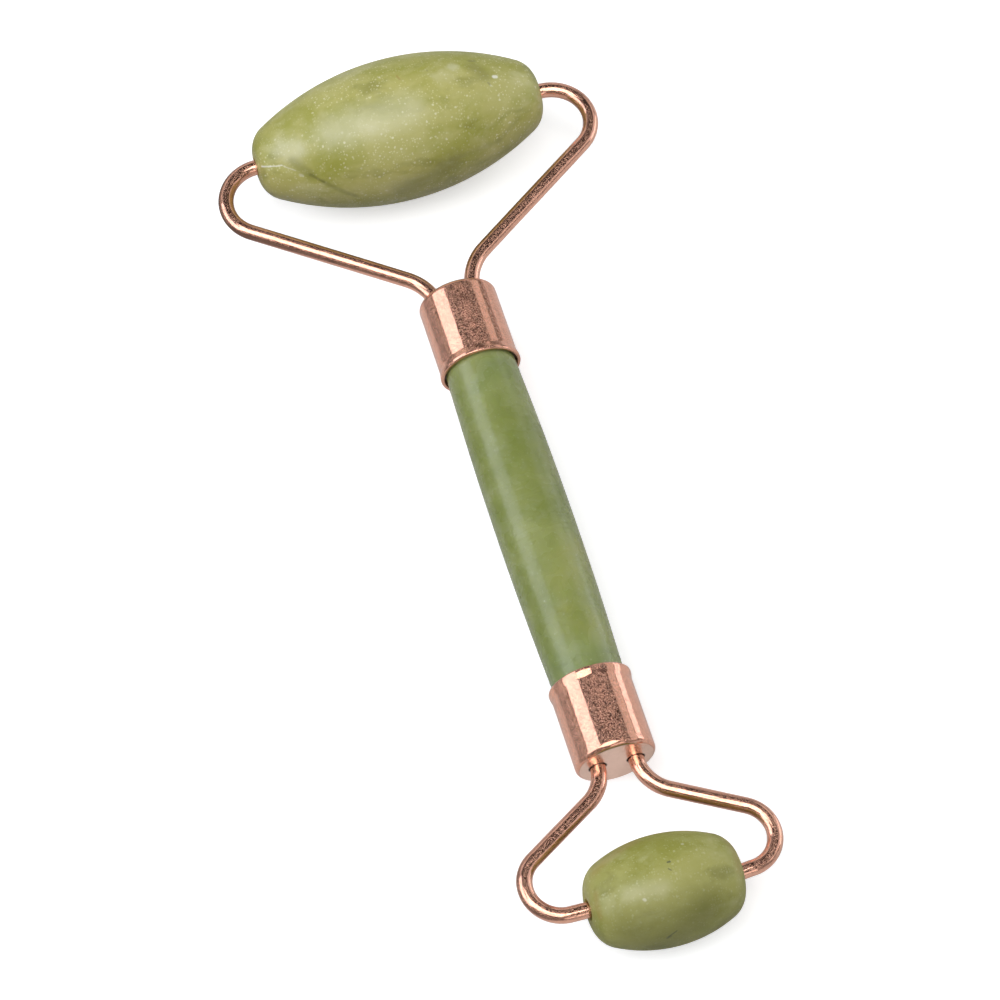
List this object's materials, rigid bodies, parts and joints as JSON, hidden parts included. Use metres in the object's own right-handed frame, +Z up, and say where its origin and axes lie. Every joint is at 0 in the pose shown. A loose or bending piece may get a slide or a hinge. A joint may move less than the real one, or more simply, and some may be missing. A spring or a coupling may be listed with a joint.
{
  "type": "face roller",
  "caption": "Hand-held facial massage roller: a slim stone handle with a wire fork at each end, one carrying a long barrel-shaped stone roller and the other a short one.",
  "frame": {"origin": "on the surface the tool lies on, resting on both rollers, below the middle of its bounding box", "axes": "+Y along the handle towards the large roller, +X along the large roller's axle to the right seen from above, +Z up from the surface"},
  "size_m": [0.056, 0.1414, 0.0206],
  "materials": {
    "jade_handle": "polished, slightly translucent green",
    "jade_roller": "satin, mottled yellow-green with pale flecks",
    "rose_gold_sheet": "copper-plated drawn sheet, bright with fine rubbing marks",
    "rose_gold_plate": "copper-plated disc, polished",
    "rose_gold_wire": "copper-plated wire with draw lines",
    "nylon": "natural nylon, darkened by the wire",
    "epoxy_potting": "set epoxy, amber",
    "epoxy_glue": "set epoxy, thin"
  },
  "bodies": {
    "handle": {"handle_stone": "jade_handle", "large_ferrule": "rose_gold_sheet", "large_end_plate": "rose_gold_plate", "large_fork": "rose_gold_wire", "large_fork_potting": "epoxy_potting", "large_handle_glue": "epoxy_glue", "small_ferrule": "rose_gold_sheet", "small_end_plate": "rose_gold_plate", "small_fork": "rose_gold_wire", "small_fork_potting": "epoxy_potting", "small_handle_glue": "epoxy_glue"},
    "large_roller": {"large_roller_stone": "jade_roller", "large_bush_left": "nylon", "large_bush_right": "nylon"},
    "small_roller": {"small_roller_stone": "jade_roller", "small_bush_left": "nylon", "small_bush_right": "nylon"}
  },
  "joints": [
    {"name": "large_roller_spin", "type": "hinge", "parent": "handle", "child": "large_roller", "pos_m": [0, 0.06038, 0.0103], "axis": [0.9998, -0.0004, 0.0192], "continuous": true},
    {"name": "small_roller_spin", "type": "hinge", "parent": "handle", "child": "small_roller", "pos_m": [0.0004, -0.06318, 0.0075], "axis": [0.9977, 0.0015, -0.068], "continuous": true}
  ]
}
